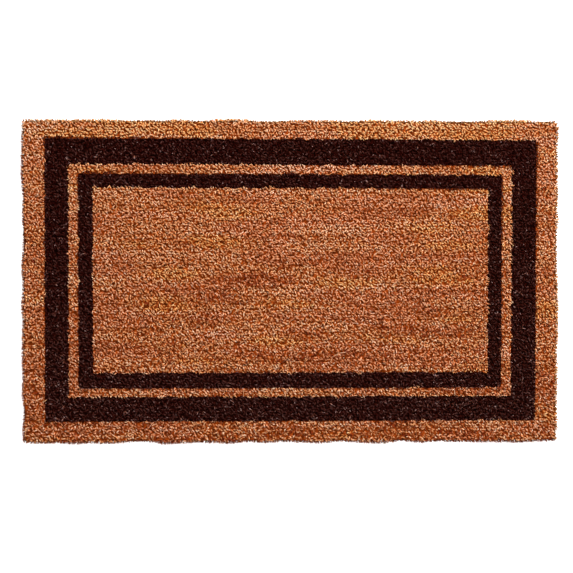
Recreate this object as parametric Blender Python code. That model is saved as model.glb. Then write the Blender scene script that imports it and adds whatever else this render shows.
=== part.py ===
"""A vinyl-backed coir door mat with a dyed double border, lying flat.

Metres, +Z up. X runs along the mat, and Y runs across it from the front edge to the back edge.
The origin is on the floor, under the middle of the mat.

The mat is a flexible vinyl sheet with coir pile bonded all over its top face. The pile is cut to
one height, and dye splits it into nested zones: a natural margin, a wide dark border, a natural
stripe, a narrow dark border and a natural field. Each zone is one closed solid here.
"""

from math import cos, pi, sin

import bmesh
import bpy

# The whole mat
MAT_LENGTH = 0.762
MAT_DEPTH = 0.4572
MAT_CORNER_RADIUS = 0.004

# Its two layers
BACKING_THICKNESS = 0.0025
PILE_HEIGHT = 0.0125
PILE_EDGE_ROUND = 0.0015

# The dyed pattern, from the mat's edges inwards. It was dyed a little nearer the back edge.
SIDE_MARGIN = 0.0313
FRONT_MARGIN = 0.0307
BACK_MARGIN = 0.0250
WIDE_BORDER = 0.0348
DIVIDER_STRIPE = 0.0136
NARROW_BORDER = 0.0202
WIDE_CORNER_RADIUS = 0.004
STRIPE_CORNER_RADIUS = 0.003
NARROW_CORNER_RADIUS = 0.003
FIELD_CORNER_RADIUS = 0.003

# Air between solids that touch on the real mat
CLEARANCE = 0.0003

# The tightest corner that a parallel outline may shrink to
LEAST_RADIUS = 0.0002

# Facets in a quarter circle
CORNER_STEPS = 6
ROUND_STEPS = 4

# Linear colour and roughness
NATURAL_COIR = ((0.41, 0.15, 0.055), 0.9)
DYED_COIR = ((0.028, 0.0085, 0.0065), 0.85)
VINYL = ((0.30, 0.17, 0.075), 0.6)


class Outline:
    """A rectangle with round corners, seen from above."""

    def __init__(self, left, right, front, back, radius):
        self.left = left
        self.right = right
        self.front = front
        self.back = back
        self.radius = radius

    def inset(self, side, front, back, radius):
        """The outline of the next zone in, with its own corner radius."""
        return Outline(
            self.left + side,
            self.right - side,
            self.front + front,
            self.back - back,
            radius,
        )

    def shrunk(self, distance):
        """The parallel outline this far inside, or outside where the distance is negative."""
        return self.inset(distance, distance, distance, max(self.radius - distance, LEAST_RADIUS))

    def points(self, z):
        """Its points anticlockwise from the right end of the front edge, at height z."""
        corners = (
            (self.right - self.radius, self.front + self.radius, -pi / 2),
            (self.right - self.radius, self.back - self.radius, 0),
            (self.left + self.radius, self.back - self.radius, pi / 2),
            (self.left + self.radius, self.front + self.radius, pi),
        )
        found = []
        for x, y, start in corners:
            for step in range(CORNER_STEPS + 1):
                angle = start + step / CORNER_STEPS * pi / 2
                found.append((x + self.radius * cos(angle), y + self.radius * sin(angle), z))
        return found


def clear_scene():
    for thing in list(bpy.data.objects):
        bpy.data.objects.remove(thing, do_unlink=True)


def material(name, look):
    """A Principled material from a linear colour and a roughness."""
    colour, roughness = look
    made = bpy.data.materials.new(name)
    made.use_nodes = True
    shader = made.node_tree.nodes["Principled BSDF"]
    shader.inputs["Base Color"].default_value = (*colour, 1)
    shader.inputs["Roughness"].default_value = roughness
    shader.inputs["Metallic"].default_value = 0
    return made


def add_object(name, mesh, look):
    bmesh.ops.recalc_face_normals(mesh, faces=mesh.faces)
    data = bpy.data.meshes.new(name)
    mesh.to_mesh(data)
    mesh.free()
    data.materials.append(look)
    data.shade_smooth()
    data.set_sharp_from_angle(angle=pi / 6)
    made = bpy.data.objects.new(name, data)
    bpy.context.scene.collection.objects.link(made)
    return made


def join_loops(mesh, first, second):
    """Quads between two loops that hold the same number of points."""
    for here in range(len(first)):
        there = (here + 1) % len(first)
        mesh.faces.new((first[here], first[there], second[there], second[here]))


def outer_wall(outline, bottom, top, rounding):
    """The loops of an outer wall from its foot to the top face, its upper edge rounded over."""
    loops = [outline.points(bottom)]
    if not rounding:
        return [*loops, outline.points(top)]
    for step in range(ROUND_STEPS + 1):
        angle = step / ROUND_STEPS * pi / 2
        level = outline.shrunk(rounding * (1 - cos(angle)))
        loops.append(level.points(top - rounding * (1 - sin(angle))))
    return loops


def slab(name, outline, bottom, top, look):
    """A plate that fills its outline."""
    mesh = bmesh.new()
    lower, upper = ([mesh.verts.new(p) for p in outline.points(z)] for z in (bottom, top))
    join_loops(mesh, lower, upper)
    mesh.faces.new(lower)
    mesh.faces.new(upper)
    return add_object(name, mesh, look)


def ring(name, outline, hole, bottom, top, look, rounding=0):
    """A frame between its outline and the hole that the next zone fills."""
    mesh = bmesh.new()
    levels = outer_wall(outline, bottom, top, rounding)
    levels.append(hole.points(top))
    levels.append(hole.points(bottom))
    loops = [[mesh.verts.new(p) for p in level] for level in levels]
    for here, loop in enumerate(loops):
        join_loops(mesh, loop, loops[(here + 1) % len(loops)])
    return add_object(name, mesh, look)


def zone_outlines():
    """The outer outlines of the five pile zones, from the mat's edge inwards."""
    mat = Outline(-MAT_LENGTH / 2, MAT_LENGTH / 2, -MAT_DEPTH / 2, MAT_DEPTH / 2, MAT_CORNER_RADIUS)
    wide = mat.inset(SIDE_MARGIN, FRONT_MARGIN, BACK_MARGIN, WIDE_CORNER_RADIUS)
    stripe = wide.inset(WIDE_BORDER, WIDE_BORDER, WIDE_BORDER, STRIPE_CORNER_RADIUS)
    narrow = stripe.inset(DIVIDER_STRIPE, DIVIDER_STRIPE, DIVIDER_STRIPE, NARROW_CORNER_RADIUS)
    field = narrow.inset(NARROW_BORDER, NARROW_BORDER, NARROW_BORDER, FIELD_CORNER_RADIUS)
    return mat, wide, stripe, narrow, field


def vinyl_backing(mat, look):
    return slab("vinyl_backing", mat, 0, BACKING_THICKNESS, look)


def coir_pile(outlines, natural, dyed):
    """The four nested frames of pile and the field inside them, all cut to one height."""
    mat, wide, stripe, narrow, field = outlines
    bottom = BACKING_THICKNESS + CLEARANCE
    top = BACKING_THICKNESS + PILE_HEIGHT
    frames = (
        ("coir_outer_margin", mat, wide, natural, PILE_EDGE_ROUND),
        ("coir_wide_border", wide, stripe, dyed, 0),
        ("coir_divider_stripe", stripe, narrow, natural, 0),
        ("coir_narrow_border", narrow, field, dyed, 0),
    )
    for name, outline, inner, look, rounding in frames:
        ring(name, outline, inner.shrunk(-CLEARANCE), bottom, top, look, rounding)
    slab("coir_centre_field", field, bottom, top, natural)


def build():
    clear_scene()
    outlines = zone_outlines()
    vinyl_backing(outlines[0], material("vinyl", VINYL))
    natural = material("natural_coir", NATURAL_COIR)
    dyed = material("dyed_coir", DYED_COIR)
    coir_pile(outlines, natural, dyed)


build()
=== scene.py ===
"""A vinyl-backed coir door mat with a dyed double border, seen from above on a pale floor.

The pile is grown strand by strand. Strands stand in tufts, and each tuft bends over one way at
its cut tip. Upright tufts follow the mat's cut edges, and loose fibres and short chips lie on
top. Dye splits the strands into the five zones of the CAD model. A low bed of packed fibre,
darkened with painted shade, closes the floor of each zone between the tufts. The vinyl is the
CAD node itself.

Metres and radians, in the CAD model's frame. A name that ends in RANGE holds the least and the
most of an even spread, and one that ends in BELL holds the mean and the deviation of a bell curve.
"""

from dataclasses import dataclass
from math import cos, pi, radians, sin

import bpy
import numpy as np
from mathutils import Matrix, Vector

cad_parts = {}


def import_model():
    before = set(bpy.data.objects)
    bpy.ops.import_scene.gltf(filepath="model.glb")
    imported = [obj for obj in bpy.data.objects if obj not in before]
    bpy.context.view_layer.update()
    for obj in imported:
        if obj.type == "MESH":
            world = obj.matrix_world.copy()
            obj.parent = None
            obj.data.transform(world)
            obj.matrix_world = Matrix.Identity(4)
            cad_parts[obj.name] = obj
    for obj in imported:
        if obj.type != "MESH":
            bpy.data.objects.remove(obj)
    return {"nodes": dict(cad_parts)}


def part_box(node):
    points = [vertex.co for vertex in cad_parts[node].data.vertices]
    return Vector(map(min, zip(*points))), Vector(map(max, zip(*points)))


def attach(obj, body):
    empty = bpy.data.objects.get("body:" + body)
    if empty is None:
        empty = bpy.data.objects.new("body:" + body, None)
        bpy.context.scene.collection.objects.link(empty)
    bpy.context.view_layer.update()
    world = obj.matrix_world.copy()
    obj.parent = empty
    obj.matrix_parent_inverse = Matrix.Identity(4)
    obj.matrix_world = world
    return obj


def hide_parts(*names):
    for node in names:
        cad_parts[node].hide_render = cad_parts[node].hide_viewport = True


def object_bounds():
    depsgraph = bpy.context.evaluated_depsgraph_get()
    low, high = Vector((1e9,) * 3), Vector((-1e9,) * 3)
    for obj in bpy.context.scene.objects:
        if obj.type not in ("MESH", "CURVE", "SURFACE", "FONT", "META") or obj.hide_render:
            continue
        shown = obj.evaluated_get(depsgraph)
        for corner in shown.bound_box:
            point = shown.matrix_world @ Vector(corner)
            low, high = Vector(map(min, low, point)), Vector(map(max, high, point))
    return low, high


SEED = 18

# --- The pile's zones, from the mat's edges inwards, and how many pieces of strands each makes
PIECES_OF = {
    "coir_outer_margin": 5,
    "coir_wide_border": 4,
    "coir_divider_stripe": 2,
    "coir_narrow_border": 2,
    "coir_centre_field": 7,
}
ZONES = tuple(PIECES_OF)
DYED = ("coir_wide_border", "coir_narrow_border")

# --- The print. Its lines lean by this much for each metre, and their edges waver by this much
MAT_CORNER = 0.004
PRINT_CORNER = 0.0035
BACK_LEAN = -0.0065
FRONT_LEAN = 0.0013
RIGHT_LEAN = 0.0067
WANDER = 0.0009
# Millimetres that each printed line strayed from its CAD outline: left, right, front and back
PRINT_DRIFT = {
    "coir_wide_border": (-0.9, 1.2, -1.8, -0.5),
    "coir_divider_stripe": (-1.9, 0.4, -1.2, -3.0),
    "coir_narrow_border": (-2.0, 0.1, -3.1, -2.2),
    "coir_centre_field": (-1.2, 0.4, -0.8, -2.1),
}

# --- Random fields over the mat: about how long their waves are along X and along Y
WANDER_WAVES = (0.03, 0.03)
PATCH_WAVES = (0.22, 0.06)
STREAK_WAVES = (0.50, 0.020)
HUE_WAVES = (0.30, 0.05)
WOBBLE_WAVES = (0.08, 0.08)
CREASE_WAVES = (0.40, 0.05)
CREASED_WAVES = (0.16, 0.10)
LUMP_WAVES = (0.012, 0.012)
WAVES_IN_FIELD = 14
WAVE_RATE_RANGE = (0.6, 2.2)

# --- A strand: its points from root to tip, its sides, and how its girth tapers
POINTS = 4
SIDES = 3
TAPER = (1.0, 1.0, 0.8, 0.0)
STRAND_RADIUS = 0.00036
BEND_POWER = 1.3

# --- Tufts all over the mat
TUFT_PITCH = 0.0037
TUFT_JITTER = 0.36
TUFT_INSET = 0.0012
TUFT_RADIUS = 0.00075
STRANDS_IN_TUFT = 7
STRAND_LENGTH = 0.0076
TUFT_CURL = 0.35
TUFT_LEAN_RANGE = (0.1, 0.5)
TUFT_BEND_RANGE = (1.1, 1.9)
TUFT_LENGTH_RANGE = (0.85, 1.15)
# More tufts lie along this heading than across it
NAP_HEADING = radians(-38)
NAP = 0.47
# How unlike each other the strands of one tuft are
TWIN_HEADING = 0.10
TWIN_CURL = 0.2
TWIN_LEAN = 0.06
TWIN_BEND = 0.14
TWIN_LENGTH_RANGE = (0.8, 1.1)
TWIN_GIRTH_RANGE = (0.75, 1.2)
# How far tips end under the pile's top. Some tufts are cut short, and leave a dark pit
TIP_DROP = 0.0008
SHORT_SHARE = 0.10
SHORT_BY = 0.003

# --- Tone. A natural tone of 0 is near the middle of its band on the map, and 0.5 is the pale end
MIDDLE_TONE = 0.51
TUFT_TONE = 0.16
TWIN_TONE = 0.04
PATCH_TONE = 0.045
STREAK_TONE = 0.08
SUNLIT_TONE = 0.13
# Painted shade along the faint creases
CREASE_SHADE_TONE = -0.30
STRIPE_TONE = 0.04
# A dyed tone runs from 0 at the dark end of the dyed band to 1 at the pale end
DYED_TONE_BELL = (0.44, 0.11)
TWIN_DYED_TONE = 0.10
# Specks are a few much paler tufts and strands: the share of each, and how strong they are
SPECK_RANGE = (0.15, 0.5)
TUFT_SPECKS = (0.02, 0.7)
TWIN_SPECKS = (0.03, 0.6)
# In the dyed zones the specks are partly undyed tips and partly painted sheen highlights on the
# dark fibres
DYED_TUFT_SPECKS_AND_SHEEN = (0.01, 1)
DYED_TWIN_SPECKS_AND_SHEEN = (0.015, 1)

# --- Hue. Each natural band of the map takes a step of it, from reddish to weathered
LOWEST_HUE = -2.3
HUE_STEP = 2.0
TUFT_HUE = 0.20
PATCH_HUE = 0.5
BACK_EDGE_HUE = 1.8
BACK_EDGE_REACH = 0.02
MOST_HUE = 3.0

# --- What changes from the middle of the mat to its back edge, and as much the other way in front
BACK_TONE = 0.09
BACK_DYED_TONE = -0.05
BACK_HUE = 0.3
BACK_EVENNESS = 0.45
BACK_LESS_DROP = 0.4
BACK_FEWER_SHORT = 0.9

# --- How far in from the right and back edges the light catches the tufts' sides
SUNLIT_RIGHT = 0.006
SUNLIT_BACK = 0.014

# --- Faint creases, painted as shade that darkens the tufts, follow the lines where one field is near 0, where another field is high
CREASE_WIDTH = 0.13
CREASED_BASE = 0.2
CREASED_GAIN = 0.7

# --- Upright tufts along the cut edges, splayed outwards by an amount that wavers
EDGE_ROWS = 2
EDGE_ROW_PITCH = 0.0022
EDGE_PITCH = 0.0021
EDGE_JITTER = 0.4
EDGE_INSET = 0.0004
EDGE_SCATTER = 0.0005
EDGE_SPLAY = 0.0023
EDGE_WOBBLE = 0.0012
EDGE_HEADING = 0.35
EDGE_CURL = 0.4
EDGE_LEAN = 0.03
EDGE_TWIN_LEAN = 0.04
EDGE_BEND_BELL = (0.05, 0.08)
EDGE_TWIN_BEND = 0.10
EDGE_LENGTH_RANGE = (0.80, 0.96)
EDGE_TONE_BELL = (-0.14, 0.12)
EDGE_TWIN_TONE = 0.10
EDGE_HUE_BELL = (2.5, 0.9)
EDGE_DYED_TONE = 0.4
# Edge strands start partway up the map, so they take less of the painted root shade
EDGE_FOOT_RANGE = (0.35, 0.75)
# The left and front edges face away from the light
EDGE_SHADE = 0.36

# --- Loose fibres and short chips that lie on top: how many, how long, how curly, how thick beside
# a strand, and how pale where they are dyed
STRAYS = {
    "count": 350,
    "length_range": (0.008, 0.018),
    "curl": 1.4,
    "girth": 0.75,
    "dyed_tone_range": (0.3, 0.7),
}
CHIPS = {
    "count": 2200,
    "length_range": (0.0012, 0.0030),
    "curl": 0.3,
    "girth": 1.3,
    "dyed_tone_range": (0.3, 1.0),
}
# They keep this far from the edges, and this power of an even spread sends more to the front
LOOSE_INSET = 0.02
LOOSE_TO_FRONT = 1.3
LOOSE_DROP = 0.0005
LOOSE_TONE_BELL = (0.20, 0.12)
LOOSE_HUE_BELL = (0.6, 1.0)
LOOSE_FOOT = 0.6
PLAIN_GIRTH_RANGE = (0.8, 1.2)

# --- The map that strands are coloured from. Bands of tone lie side by side across it, each strand
# reads a narrow strip of one band, and root to tip runs up it
STRIP = 0.008
# The closed end at a strand's root takes a sliver at the foot of its strip
END_SLIVER = 0.012
NATURAL_BANDS = ((0.0, 0.19), (0.20, 0.44), (0.45, 0.64), (0.65, 0.79))
DYED_BAND = (0.80, 1.0)
# Linear colours from dark to pale across each band: reddish, common, golden, weathered and dyed
PALETTE = (
    ((0.125, 0.010, 0.0005), (0.490, 0.216, 0.104), (0.62, 0.425, 0.305)),
    ((0.135, 0.011, 0.0005), (0.490, 0.228, 0.096), (0.62, 0.435, 0.295)),
    ((0.145, 0.012, 0.0005), (0.51, 0.234, 0.074), (0.63, 0.44, 0.235)),
    ((0.09, 0.022, 0.001), (0.36, 0.224, 0.080), (0.66, 0.50, 0.28)),
    ((0.010, 0.0003, 0.0002), (0.021, 0.0027, 0.0017), (0.056, 0.022, 0.019), (0.26, 0.165, 0.155)),
)
# Painted shade: factors that darken each strand's colour towards its root, where the pile shades
# it, from root (0) to tip
ROOT_SHADE_TO_TIP = ((0.0, (0.38, 0.11, 0.04)), (0.45, (0.88, 0.57, 0.38)), (0.77, (1.0, 1.0, 1.0)))
# Streaks along a strand that darken and lighten its colour
GRAIN_SCALE = (700, 7, 1)
GRAIN = ((0.3, (0.8, 0.8, 0.8)), (0.7, (1.12, 1.12, 1.12)))

# --- The bed of packed fibre, its colours darkened with painted shade from the pile above it
BED_GAP = 0.0018
BED_PITCH = 0.003
BED_LIFT = 0.0003
BED_HEIGHT = 0.0055
LUMP_SIZE = 0.0008
LUMP_SPREAD = 0.6
BED_CREASE = radians(50)
# Painted shade: the bed is coloured far darker than the strands over it
NATURAL_SHADED_BED = ((0.35, (0.11, 0.012, 0.001)), (0.65, (0.23, 0.042, 0.005)))
DYED_SHADED_BED = ((0.35, (0.004, 0.0004, 0.0002)), (0.65, (0.014, 0.003, 0.002)))
BED_NOISE = {"Scale": 900, "Detail": 3, "Distortion": 1.5}
BED_BUMP = 0.0008

# --- The vinyl: cloudy pigment, and a fine cloth grain rolled in
VINYL_TANS = ((0.3, (0.15, 0.095, 0.032)), (0.7, (0.21, 0.135, 0.048)))
VINYL_NOISE = {"Scale": 30, "Detail": 4}
CLOTH_SCALE = 700
CLOTH_BUMP = 0.0003

# --- Roughness and specular level
NATURAL_GLOSS = (0.7, 0.02)
DYED_GLOSS = (0.7, 0.005)
BED_GLOSS = (0.9, 0.0)
VINYL_GLOSS = (0.55, 0.4)
FLOOR_GLOSS = (0.9, 0.1)

# --- Camera, light and floor
CAMERA_DISTANCE = 2.2
FRAME_WIDTH = 0.8158
SENSOR_MM = 36
AIM = (-0.0072, -0.0071)
LEAN_LEFT = radians(1.8)
LEAN_BACK = radians(1.1)
WORLD_STRENGTH = 1.09
KEY_PLACE = (0.6, 1.8, 1.9)
KEY_SIZE = 1.2
KEY_WATTS = 226
FLOOR_HALF = 6.0
FLOOR_GREY = 0.9
FLOOR_GLOW = 0.6


class Outline:
    """A rectangle seen from above, read from a CAD node's box."""

    def __init__(self, node, corner):
        low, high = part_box(node)
        left, right, front, back = PRINT_DRIFT.get(node, (0, 0, 0, 0))
        self.left = low.x + left / 1000
        self.right = high.x + right / 1000
        self.front = low.y + front / 1000
        self.back = high.y + back / 1000
        self.corner = corner

    def outside(self, x, y):
        """How far points lie outside the outline, negative inside."""
        middle_x = (self.left + self.right) / 2
        middle_y = (self.front + self.back) / 2
        across = np.abs(x - middle_x) - (self.right - self.left) / 2 + self.corner
        along = np.abs(y - middle_y) - (self.back - self.front) / 2 + self.corner
        past = np.hypot(np.maximum(across, 0), np.maximum(along, 0))
        return past + np.minimum(np.maximum(across, along), 0) - self.corner


class Waves:
    """A smooth random field made of plane waves, with a mean of 0 and a deviation of its size."""

    def __init__(self, rng, length_x, length_y, size=1):
        self.size = size
        turn = rng.uniform(0, 2 * pi, WAVES_IN_FIELD)
        rate = rng.uniform(*WAVE_RATE_RANGE, WAVES_IN_FIELD)
        self.kx = 2 * pi / length_x * np.cos(turn) * rate
        self.ky = 2 * pi / length_y * np.sin(turn) * rate
        self.phase = rng.uniform(0, 2 * pi, WAVES_IN_FIELD)

    def at(self, x, y):
        waves = np.cos(np.multiply.outer(x, self.kx) + np.multiply.outer(y, self.ky) + self.phase)
        return waves.sum(-1) * self.size * (2 / WAVES_IN_FIELD) ** 0.5


@dataclass
class Strands:
    """Many strands. The first axis of each array runs over the strands."""

    # Points from root to tip, and the heading at each
    points: np.ndarray
    headings: np.ndarray
    radius: np.ndarray
    # A natural tone and hue, and the tone where it is dyed
    tone: np.ndarray
    hue: np.ndarray
    dyed_tone: np.ndarray
    # Where on the map, from root to tip, the strand starts, and so how much of the painted root
    # shade it takes
    foot: np.ndarray

    def chosen(self, which):
        return Strands(*(values[which] for values in vars(self).values()))


def joined(groups):
    return Strands(*(np.concatenate(values) for values in zip(*(vars(g).values() for g in groups))))


def zone_of(x, y, outlines, wanders):
    """The index in ZONES of the zone that holds each point."""
    leant_x = x - np.where(x > 0, RIGHT_LEAN * y, 0)
    leant_y = y - np.where(y > 0, BACK_LEAN, FRONT_LEAN) * x
    found = np.zeros(x.shape, int)
    for outline, wander in zip(outlines[1:], wanders):
        found += outline.outside(leant_x, leant_y) < wander.at(x, y)
    return found


def slot_of(zone):
    return "dyed_coir" if zone in DYED else "natural_coir"


def add_to_scene(name, data):
    made = bpy.data.objects.new(name, data)
    bpy.context.scene.collection.objects.link(made)
    return made


# --- Growing the strands


def bent(root, heading, curl, lean, bend, length):
    """Points and headings along strands that lean from the root and bend over towards the tip."""
    steps = POINTS - 1
    middle = (np.arange(steps) + 0.5) / steps
    turn = heading[:, None] + curl[:, None] * middle
    tilt = lean[:, None] + (bend - lean)[:, None] * middle**BEND_POWER
    run = (length / steps)[:, None] * np.sin(tilt)
    rise = (length / steps)[:, None] * np.cos(tilt)
    step = np.stack([run * np.cos(turn), run * np.sin(turn), rise], -1)
    points = np.concatenate([root[:, None], root[:, None] + np.cumsum(step, 1)], 1)
    headings = heading[:, None] + curl[:, None] * np.linspace(0, 1, POINTS)
    return points, headings


def specks(rng, count, share, size):
    """A much paler tone for a share of the tufts or strands."""
    return size * np.where(rng.uniform(0, 1, count) < share, rng.uniform(*SPECK_RANGE, count), 0)


def tuft_places(rng, mat, wobble):
    """A jittered grid, its rows shifted by half a pitch in turn, that ends at a wavering edge."""
    row = np.arange(mat.front + TUFT_PITCH / 2, mat.back, TUFT_PITCH)
    column = np.arange(mat.left + TUFT_PITCH / 4, mat.right, TUFT_PITCH)
    x, y = np.meshgrid(column, row)
    x = x + (np.arange(len(row)) % 2)[:, None] * TUFT_PITCH / 2
    x = (x + rng.uniform(-TUFT_JITTER, TUFT_JITTER, x.shape) * TUFT_PITCH).ravel()
    y = (y + rng.uniform(-TUFT_JITTER, TUFT_JITTER, y.shape) * TUFT_PITCH).ravel()
    kept = mat.outside(x, y) < wobble.at(x, y) - TUFT_INSET
    return x[kept], y[kept]


def tuft_colours(rng, x, y, mat, fields):
    """The natural tones, the hues and the dyed tones of tufts at x, y."""
    count = len(x)
    backward = y / mat.back
    unevenness = 1 - BACK_EVENNESS * backward
    patch = fields["patch"].at(x, y)
    sunlit = np.exp((x - mat.right) / SUNLIT_RIGHT) + np.exp((y - mat.back) / SUNLIT_BACK)
    # Painted shade: a mask along the faint creases, where the tufts are darkened
    crease_shade = np.exp(-((fields["crease_shade"].at(x, y) / CREASE_WIDTH) ** 2))
    crease_shade *= np.clip(CREASED_BASE + CREASED_GAIN * fields["creased"].at(x, y), 0, 1)

    tone = rng.normal(0, TUFT_TONE, count) + specks(rng, count, *TUFT_SPECKS)
    tone = tone * unevenness + BACK_TONE * backward + PATCH_TONE * patch
    tone += STREAK_TONE * fields["streak"].at(x, y) + SUNLIT_TONE * sunlit + CREASE_SHADE_TONE * crease_shade

    hue = fields["hue"].at(x, y) + BACK_HUE * backward + PATCH_HUE * patch
    hue += rng.normal(0, TUFT_HUE, count) + sunlit
    hue += BACK_EDGE_HUE * np.exp((y - mat.back) / BACK_EDGE_REACH)

    dyed_tone = rng.normal(*DYED_TONE_BELL, count) + BACK_DYED_TONE * backward
    # Pale specks, partly undyed tips and partly painted sheen highlights
    dyed_tone += specks(rng, count, *DYED_TUFT_SPECKS_AND_SHEEN)
    return tone, np.minimum(hue, MOST_HUE), dyed_tone


def tip_drops(rng, backward, each):
    """How far under the pile's top each strand is cut off. Some whole tufts are much shorter."""
    count = len(backward)
    drop = np.abs(rng.normal(0, TIP_DROP, count)) * (1 - BACK_LESS_DROP * backward)
    short = rng.uniform(0, 1, count) < SHORT_SHARE * (1 - BACK_FEWER_SHORT * backward)
    return (drop + SHORT_BY * short)[each] + np.abs(rng.normal(0, TIP_DROP / 2, len(each)))


def tufts(rng, x, y, top, mat, fields):
    """Tufts that stand at x, y, each a bundle of strands that share a heading and a tone."""
    count = len(x)
    heading = rng.uniform(0, 2 * pi, count)
    heading -= NAP * np.sin(2 * (heading - NAP_HEADING))
    curl = rng.normal(0, TUFT_CURL, count)
    lean = rng.uniform(*TUFT_LEAN_RANGE, count)
    bend = rng.uniform(*TUFT_BEND_RANGE, count)
    length = STRAND_LENGTH * rng.uniform(*TUFT_LENGTH_RANGE, count)
    tone, hue, dyed_tone = tuft_colours(rng, x, y, mat, fields)

    each = np.repeat(np.arange(count), STRANDS_IN_TUFT)
    total = len(each)
    spread = TUFT_RADIUS * np.sqrt(rng.uniform(0, 1, total))
    around = rng.uniform(0, 2 * pi, total)
    root = np.zeros((total, 3))
    root[:, 0] = x[each] + spread * np.cos(around)
    root[:, 1] = y[each] + spread * np.sin(around)
    points, headings = bent(
        root,
        heading[each] + rng.normal(0, TWIN_HEADING, total),
        curl[each] + rng.normal(0, TWIN_CURL, total),
        lean[each] + rng.normal(0, TWIN_LEAN, total),
        bend[each] + rng.normal(0, TWIN_BEND, total),
        length[each] * rng.uniform(*TWIN_LENGTH_RANGE, total),
    )
    backward = y / mat.back
    drop = tip_drops(rng, backward, each)
    points[:, :, 2] += (top - drop - points[:, :, 2].max(1))[:, None]
    # The strand's middle stands over its place, and not its root
    points[:, :, :2] -= (points[:, -1:, :2] - points[:, :1, :2]) / 2

    radius = STRAND_RADIUS * rng.uniform(*TWIN_GIRTH_RANGE, total)
    twin_tone = rng.normal(0, TWIN_TONE, total) + specks(rng, total, *TWIN_SPECKS)
    twin_tone *= (1 - BACK_EVENNESS * backward)[each]
    # Pale specks on single strands, partly undyed tips and partly painted sheen highlights
    twin_dyed = rng.normal(0, TWIN_DYED_TONE, total) + specks(rng, total, *DYED_TWIN_SPECKS_AND_SHEEN)
    return Strands(
        points,
        headings,
        radius,
        tone[each] + twin_tone,
        hue[each],
        dyed_tone[each] + twin_dyed,
        np.zeros(total),
    )


def edge_places(rng, mat, inset):
    """Places along the mat's four sides, this far inside them, and each one's way out."""
    x, y, outward = [], [], []
    for run, along_x, fixed, way_out in (
        ((mat.left, mat.right), True, mat.front + inset, -pi / 2),
        ((mat.left, mat.right), True, mat.back - inset, pi / 2),
        ((mat.front, mat.back), False, mat.left + inset, pi),
        ((mat.front, mat.back), False, mat.right - inset, 0),
    ):
        places = np.arange(run[0] + inset + EDGE_PITCH / 2, run[1] - inset, EDGE_PITCH)
        places = places + rng.uniform(-EDGE_JITTER, EDGE_JITTER, len(places)) * EDGE_PITCH
        across = np.full(len(places), fixed)
        x.append(places if along_x else across)
        y.append(across if along_x else places)
        outward.append(np.full(len(places), way_out, float))
    return np.concatenate(x), np.concatenate(y), np.concatenate(outward)


def edge_tufts(rng, mat, floor, top, wobble):
    """Upright tufts along the mat's cut edges, from the vinyl to the tips."""
    rows = [edge_places(rng, mat, EDGE_INSET + row * EDGE_ROW_PITCH) for row in range(EDGE_ROWS)]
    x, y, outward = (np.concatenate(values) for values in zip(*rows))
    count = len(x)
    each = np.repeat(np.arange(count), STRANDS_IN_TUFT)
    total = len(each)
    root = np.zeros((total, 3))
    root[:, 0] = x[each] + rng.normal(0, EDGE_SCATTER, total)
    root[:, 1] = y[each] + rng.normal(0, EDGE_SCATTER, total)
    root[:, 2] = floor
    height = top - floor
    splay = (EDGE_SPLAY + wobble.at(x, y)) / height
    points, headings = bent(
        root,
        outward[each] + rng.normal(0, EDGE_HEADING, total),
        rng.normal(0, EDGE_CURL, total),
        (splay + rng.normal(0, EDGE_LEAN, count))[each] + rng.normal(0, EDGE_TWIN_LEAN, total),
        (splay + rng.normal(*EDGE_BEND_BELL, count))[each] + rng.normal(0, EDGE_TWIN_BEND, total),
        height * rng.uniform(*EDGE_LENGTH_RANGE, total),
    )
    sunny = (outward == 0) | (outward == pi / 2)
    tone = rng.normal(*EDGE_TONE_BELL, count) - np.where(sunny, 0, EDGE_SHADE)
    hue = rng.normal(*EDGE_HUE_BELL, count)
    return Strands(
        points,
        headings,
        STRAND_RADIUS * rng.uniform(*PLAIN_GIRTH_RANGE, total),
        tone[each] + rng.normal(0, EDGE_TWIN_TONE, total),
        hue[each],
        np.full(total, EDGE_DYED_TONE),
        rng.uniform(*EDGE_FOOT_RANGE, count)[each],
    )


def loose_fibres(rng, mat, top, count, length_range, curl, girth, dyed_tone_range):
    """Loose fibres that lie across the cut tips, more of them towards the front."""
    root = np.zeros((count, 3))
    root[:, 0] = rng.uniform(mat.left + LOOSE_INSET, mat.right - LOOSE_INSET, count)
    place = rng.uniform(0, 1, count) ** LOOSE_TO_FRONT
    root[:, 1] = mat.front + LOOSE_INSET + place * (mat.back - mat.front - 2 * LOOSE_INSET)
    flat = np.full(count, pi / 2)
    points, headings = bent(
        root,
        rng.uniform(0, 2 * pi, count),
        rng.normal(0, curl, count),
        flat,
        flat,
        rng.uniform(*length_range, count),
    )
    points[:, :, 2] = top - STRAND_RADIUS - np.abs(rng.normal(0, LOOSE_DROP, (count, POINTS)))
    return Strands(
        points,
        headings,
        STRAND_RADIUS * girth * rng.uniform(*PLAIN_GIRTH_RANGE, count),
        rng.normal(*LOOSE_TONE_BELL, count),
        rng.normal(*LOOSE_HUE_BELL, count),
        rng.uniform(*dyed_tone_range, count),
        np.full(count, LOOSE_FOOT),
    )


def grown_pile(rng, mat, floor, top, fields):
    """All the mat's strands."""
    x, y = tuft_places(rng, mat, fields["wobble"])
    return joined(
        [
            tufts(rng, x, y, top, mat, fields),
            edge_tufts(rng, mat, floor, top, fields["wobble"]),
            loose_fibres(rng, mat, top, **STRAYS),
            loose_fibres(rng, mat, top, **CHIPS),
        ]
    )


# --- Meshes of strands


def strip_places(strands, dyed):
    """Where the strip of each length of strand starts across the map. Dye picks the dyed band,
    or else hue picks a natural one, and tone picks the place in the band."""
    tone = np.clip(MIDDLE_TONE + strands.tone, 0, 1)
    dyed_tone = np.clip(strands.dyed_tone, 0, 1)
    band = np.floor((strands.hue - LOWEST_HUE) / HUE_STEP)
    band = np.clip(band, 0, len(NATURAL_BANDS) - 1).astype(int)
    low, high = np.array(NATURAL_BANDS)[band].T
    natural_place = low + tone * (high - low - STRIP)
    low, high = DYED_BAND
    dyed_place = low + dyed_tone * (high - low - STRIP)
    return np.where(dyed, dyed_place[:, None], natural_place[:, None])


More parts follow.
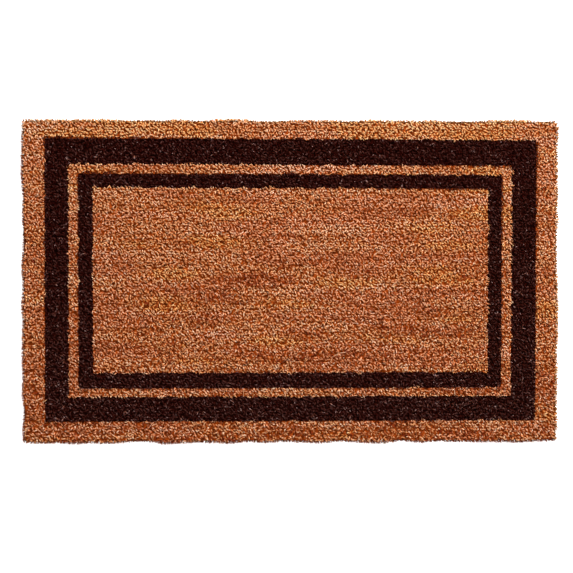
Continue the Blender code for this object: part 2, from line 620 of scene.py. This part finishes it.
def prism_vertices(strands):
    """The corners of every strand's rings, and then its tip."""
    points = strands.points
    tangent = np.gradient(points, axis=1)
    tangent /= np.linalg.norm(tangent, axis=2, keepdims=True)
    side = np.stack(
        [-np.sin(strands.headings), np.cos(strands.headings), np.zeros_like(strands.headings)], -1
    )
    side -= tangent * (side * tangent).sum(2, keepdims=True)
    side /= np.linalg.norm(side, axis=2, keepdims=True)
    up = np.cross(tangent, side)
    radius = strands.radius[:, None, None] * np.array(TAPER)[None, :, None]
    loops = []
    for corner in range(SIDES):
        angle = 2 * pi * corner / SIDES + pi / 2
        loops.append(points + (side * cos(angle) + up * sin(angle)) * radius)
    rings = np.stack(loops, 2)[:, :-1]
    return np.concatenate([rings.reshape(len(points), -1, 3), points[:, -1:]], 1)


def prism_pattern():
    """The faces of one strand, and for each corner its place across and along the strip, and
    the length of strand that it belongs to."""
    rings = POINTS - 1
    tip = rings * SIDES
    faces = [tuple(reversed(range(SIDES)))]
    across = [1.0, 0.5, 0.0]
    along = [0.0, END_SLIVER, 0.0]
    lengths = [0, 0, 0]
    for ring in range(rings):
        low, high = ring / rings, (ring + 1) / rings
        for corner in range(SIDES):
            here = ring * SIDES + corner
            there = ring * SIDES + (corner + 1) % SIDES
            first, last = corner / SIDES, (corner + 1) / SIDES
            if ring < rings - 1:
                faces.append((here, there, there + SIDES, here + SIDES))
                across += [first, last, last, first]
                along += [low, low, high, high]
                lengths += [ring] * 4
            else:
                faces.append((here, there, tip))
                across += [first, last, (first + last) / 2]
                along += [low, low, high]
                lengths += [ring] * 3
    return faces, np.array(across), np.array(along), lengths


def add_prisms(mesh, vertices, faces):
    """Fills the mesh with every strand's vertices, and the same faces for each."""
    count, stride, _ = vertices.shape
    corners = np.arange(count)[:, None] * stride + np.concatenate([list(face) for face in faces])
    sizes = np.tile([len(face) for face in faces], count)
    mesh.vertices.add(count * stride)
    mesh.vertices.foreach_set("co", vertices.astype(np.float32).ravel())
    mesh.loops.add(corners.size)
    mesh.loops.foreach_set("vertex_index", corners.astype(np.int32).ravel())
    mesh.polygons.add(len(sizes))
    mesh.polygons.foreach_set("loop_start", (np.cumsum(sizes) - sizes).astype(np.int32))
    mesh.update(calc_edges=True)


def strand_object(name, strands, dyed):
    """One object of closed three-sided prisms that taper to a point."""
    faces, across, along, lengths = prism_pattern()
    mesh = bpy.data.meshes.new(name)
    add_prisms(mesh, prism_vertices(strands), faces)
    foot = strands.foot[:, None]
    u = strip_places(strands, dyed)[:, lengths] + STRIP * across
    v = foot + (1 - foot) * along
    layer = mesh.uv_layers.new(name="OFBake")
    layer.data.foreach_set("uv", np.stack([u, v], -1).astype(np.float32).ravel())
    mesh.shade_smooth()
    return add_to_scene(name, mesh)


# --- Materials


def new_material(name, gloss):
    made = bpy.data.materials.new(name)
    made.use_nodes = True
    shader = made.node_tree.nodes["Principled BSDF"]
    roughness, specular = gloss
    shader.inputs["Roughness"].default_value = roughness
    shader.inputs["Specular IOR Level"].default_value = specular
    return made, made.node_tree, shader


def ramp(tree, stops, source):
    node = tree.nodes.new("ShaderNodeValToRGB")
    elements = node.color_ramp.elements
    while len(elements) > 1:
        elements.remove(elements[-1])
    elements[0].position = stops[0][0]
    elements[0].color = (*stops[0][1], 1)
    for place, colour in stops[1:]:
        elements.new(place).color = (*colour, 1)
    tree.links.new(source, node.inputs["Fac"])
    return node.outputs["Color"]


def multiply(tree, first, second):
    node = tree.nodes.new("ShaderNodeMix")
    node.data_type = "RGBA"
    node.blend_type = "MULTIPLY"
    node.inputs["Factor"].default_value = 1
    tree.links.new(first, node.inputs["A"])
    tree.links.new(second, node.inputs["B"])
    return node.outputs["Result"]


def noise(tree, vector, settings):
    node = tree.nodes.new("ShaderNodeTexNoise")
    for name, value in settings.items():
        node.inputs[name].default_value = value
    tree.links.new(vector, node.inputs["Vector"])
    return node.outputs["Fac"]


def add_bump(tree, shader, height, distance):
    node = tree.nodes.new("ShaderNodeBump")
    node.inputs["Distance"].default_value = distance
    tree.links.new(height, node.inputs["Height"])
    tree.links.new(node.outputs["Normal"], shader.inputs["Normal"])


def palette_stops():
    """Each band's colours, spread evenly over its width on the map."""
    stops = []
    for (low, high), colours in zip((*NATURAL_BANDS, DYED_BAND), PALETTE):
        stops += zip(np.linspace(low, high, len(colours)), colours)
    return stops


def strand_material(name, gloss):
    """Tone and hue run across the map, and root to tip runs up it. Painted shade darkens each
    strand towards its root.
    """
    made, tree, shader = new_material(name, gloss)
    uv = tree.nodes.new("ShaderNodeUVMap")
    uv.uv_map = "OFBake"
    split = tree.nodes.new("ShaderNodeSeparateXYZ")
    tree.links.new(uv.outputs["UV"], split.inputs["Vector"])
    colour = ramp(tree, palette_stops(), split.outputs["X"])
    # Painted shade that darkens each strand towards its root
    root_shade = ramp(tree, ROOT_SHADE_TO_TIP, split.outputs["Y"])
    stretch = tree.nodes.new("ShaderNodeMapping")
    stretch.inputs["Scale"].default_value = GRAIN_SCALE
    tree.links.new(uv.outputs["UV"], stretch.inputs["Vector"])
    streaks = noise(tree, stretch.outputs["Vector"], {"Scale": 1, "Detail": 2})
    shaded = multiply(tree, colour, root_shade)
    grained = multiply(tree, shaded, ramp(tree, GRAIN, streaks))
    tree.links.new(grained, shader.inputs["Base Color"])
    return made


def bed_material(name, stops):
    made, tree, shader = new_material(name, BED_GLOSS)
    place = tree.nodes.new("ShaderNodeTexCoord")
    lumps = noise(tree, place.outputs["Object"], BED_NOISE)
    tree.links.new(ramp(tree, stops, lumps), shader.inputs["Base Color"])
    add_bump(tree, shader, lumps, BED_BUMP)
    return made


def vinyl_material():
    """Calendered vinyl: a fine cloth grain, rolled in, and cloudy pigment."""
    made, tree, shader = new_material("tan_vinyl", VINYL_GLOSS)
    place = tree.nodes.new("ShaderNodeTexCoord")
    clouds = noise(tree, place.outputs["Object"], VINYL_NOISE)
    tree.links.new(ramp(tree, VINYL_TANS, clouds), shader.inputs["Base Color"])
    cloth = tree.nodes.new("ShaderNodeTexVoronoi")
    cloth.inputs["Scale"].default_value = CLOTH_SCALE
    tree.links.new(place.outputs["Object"], cloth.inputs["Vector"])
    add_bump(tree, shader, cloth.outputs["Distance"], CLOTH_BUMP)
    return made


# --- The bed of packed fibre under the tufts


def grid_lines(lows, highs):
    """Grid lines through every zone's two edges, and about a pitch apart between them. The mat's
    own edges are the first of each, and the bed stops short of them."""
    places = [lows[0] + BED_GAP, *lows[1:], *highs[:0:-1], highs[0] - BED_GAP]
    runs = []
    for low, high in zip(places, places[1:]):
        steps = max(1, round((high - low) / BED_PITCH))
        runs.append(np.linspace(low, high, steps, endpoint=False))
    return np.concatenate([*runs, [places[-1]]])


def zone_of_cells(xs, ys, outlines):
    """The index in ZONES of the zone that holds each cell of the grid."""
    x, y = np.meshgrid((xs[1:] + xs[:-1]) / 2, (ys[1:] + ys[:-1]) / 2, indexing="ij")
    zone = np.zeros(x.shape, int)
    for outline in outlines[1:]:
        within_x = (x > outline.left) & (x < outline.right)
        within_y = (y > outline.front) & (y < outline.back)
        zone += within_x & within_y
    return zone


def block_faces(inside, number):
    """Quads above and below the cells inside, and down their open sides. Each grid point has
    its number, and the point under it comes that many points later."""
    below = number.size
    a, b, c, d = number[:-1, :-1], number[1:, :-1], number[1:, 1:], number[:-1, 1:]
    held = np.pad(inside, 1)
    quads = [np.stack([a, b, c, d], -1)[inside], np.stack([a, d, c, b], -1)[inside] + below]
    for neighbour, first, second in (
        (held[1:-1, :-2], a, b),
        (held[2:, 1:-1], b, c),
        (held[1:-1, 2:], c, d),
        (held[:-2, 1:-1], d, a),
    ):
        wall = inside & ~neighbour
        quads.append(np.stack([second, first, first + below, second + below], -1)[wall])
    return np.concatenate(quads)


def beds(rng, outlines, floor):
    """A closed solid for each zone, flat below and lumpy on top."""
    xs = grid_lines([o.left for o in outlines], [o.right for o in outlines])
    ys = grid_lines([o.front for o in outlines], [o.back for o in outlines])
    x, y = np.meshgrid(xs, ys, indexing="ij")
    lumps = Waves(rng, *LUMP_WAVES).at(x, y) + rng.normal(0, LUMP_SPREAD, x.shape)
    upper = np.stack([x, y, floor + BED_HEIGHT + LUMP_SIZE * lumps], -1)
    lower = np.stack([x, y, np.full(x.shape, floor + BED_LIFT)], -1)
    vertices = np.concatenate([upper.reshape(-1, 3), lower.reshape(-1, 3)])
    zone = zone_of_cells(xs, ys, outlines)
    number = np.arange(x.size).reshape(x.shape)
    made = []
    for index, name in enumerate(ZONES):
        faces = block_faces(zone == index, number)
        used, renumbered = np.unique(faces, return_inverse=True)
        mesh = bpy.data.meshes.new(name)
        mesh.from_pydata(vertices[used], [], renumbered.reshape(faces.shape))
        mesh.shade_smooth()
        mesh.set_sharp_from_angle(angle=BED_CREASE)
        made.append(add_to_scene(name.replace("coir", "packed_fibre"), mesh))
    return made


# --- The pieces


def dress(piece, node, material):
    piece.data.materials.clear()
    piece.data.materials.append(material)
    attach(piece, "root")
    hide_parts(node)


def tuft_pieces(pile, outlines, wanders):
    """The strands of each zone, in pieces from left to right. A strand belongs to the zone under
    its middle, and each length of it takes the dye of the zone under that length."""
    looks = {
        "natural_coir": strand_material("natural_coir", NATURAL_GLOSS),
        "dyed_coir": strand_material("dyed_coir", DYED_GLOSS),
    }
    middle = pile.points[:, 1:].mean(1)
    zone = zone_of(middle[:, 0], middle[:, 1], outlines, wanders)
    pile.tone[zone == ZONES.index("coir_divider_stripe")] += STRIPE_TONE
    lengths = (pile.points[:, 1:] + pile.points[:, :-1]) / 2
    dye_of = np.array([name in DYED for name in ZONES])
    dyed = dye_of[zone_of(lengths[:, :, 0], lengths[:, :, 1], outlines, wanders)]
    pieces = []
    for index, name in enumerate(ZONES):
        in_zone = np.flatnonzero(zone == index)
        order = in_zone[np.argsort(middle[in_zone, 0], kind="stable")]
        slot = slot_of(name)
        for number, part in enumerate(np.array_split(order, PIECES_OF[name]), 1):
            piece_name = f"{name.replace('coir_', '')}_tufts_{number}"
            piece = strand_object(piece_name, pile.chosen(part), dyed[part])
            dress(piece, name, looks[slot])
            pieces.append(piece)
    return pieces


def bed_pieces(rng, outlines, floor):
    looks = {
        "natural_coir": bed_material("natural_packed_fibre", NATURAL_SHADED_BED),
        "dyed_coir": bed_material("dyed_packed_fibre", DYED_SHADED_BED),
    }
    pieces = beds(rng, outlines, floor)
    for name, piece in zip(ZONES, pieces):
        slot = slot_of(name)
        dress(piece, name, looks[slot])
    return pieces


# --- Camera, light and floor


def set_light():
    bpy.context.scene.view_settings.view_transform = "Standard"
    world = bpy.data.worlds.new("studio")
    bpy.context.scene.world = world
    world.use_nodes = True
    background = world.node_tree.nodes["Background"]
    background.inputs["Color"].default_value = (1, 1, 1, 1)
    background.inputs["Strength"].default_value = WORLD_STRENGTH
    data = bpy.data.lights.new("key", "AREA")
    data.shape = "DISK"
    data.size = KEY_SIZE
    data.energy = KEY_WATTS
    light = add_to_scene("key", data)
    light.location = KEY_PLACE
    light.rotation_euler = (-Vector(KEY_PLACE)).to_track_quat("-Z", "Y").to_euler()


def add_floor(level):
    """A pale floor that glows a little, so it is white in the picture."""
    mesh = bpy.data.meshes.new("floor")
    corners = ((-1, -1), (1, -1), (1, 1), (-1, 1))
    mesh.from_pydata([(FLOOR_HALF * x, FLOOR_HALF * y, level) for x, y in corners], [], [range(4)])
    floor = add_to_scene("floor", mesh)
    paint, _, shader = new_material("floor_paint", FLOOR_GLOSS)
    shader.inputs["Base Color"].default_value = (FLOOR_GREY, FLOOR_GREY, FLOOR_GREY, 1)
    shader.inputs["Emission Color"].default_value = (1, 1, 1, 1)
    shader.inputs["Emission Strength"].default_value = FLOOR_GLOW
    mesh.materials.append(paint)


def set_camera(top):
    data = bpy.data.cameras.new("camera")
    data.sensor_width = SENSOR_MM
    data.lens = SENSOR_MM * CAMERA_DISTANCE / FRAME_WIDTH
    camera = add_to_scene("camera", data)
    aim = Vector((*AIM, top))
    away = Vector((-sin(LEAN_LEFT), sin(LEAN_BACK), 1)).normalized()
    camera.location = aim + away * CAMERA_DISTANCE
    # The picture's upright stays along +Y
    across = Vector((0, 1, 0)).cross(away).normalized()
    upright = away.cross(across)
    camera.rotation_euler = Matrix((across, upright, away)).transposed().to_euler()
    bpy.context.scene.camera = camera


def main():
    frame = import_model()
    cad_low, cad_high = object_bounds()
    rng = np.random.default_rng(SEED)
    outlines = [Outline(ZONES[0], MAT_CORNER)] + [Outline(z, PRINT_CORNER) for z in ZONES[1:]]
    mat = outlines[0]
    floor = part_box("vinyl_backing")[1].z
    top = cad_high.z
    wanders = [Waves(rng, *WANDER_WAVES, WANDER) for _ in outlines[1:]]
    fields = {
        "patch": Waves(rng, *PATCH_WAVES),
        "streak": Waves(rng, *STREAK_WAVES),
        "hue": Waves(rng, *HUE_WAVES),
        "wobble": Waves(rng, *WOBBLE_WAVES, EDGE_WOBBLE),
        "crease_shade": Waves(rng, *CREASE_WAVES),
        "creased": Waves(rng, *CREASED_WAVES),
    }
    pile = grown_pile(rng, mat, floor, top, fields)
    pieces = tuft_pieces(pile, outlines, wanders) + bed_pieces(rng, outlines, floor)

    backing = frame["nodes"]["vinyl_backing"]
    backing.data.materials.clear()
    backing.data.materials.append(vinyl_material())
    set_light()
    add_floor(cad_low.z)
    set_camera(top)


main()
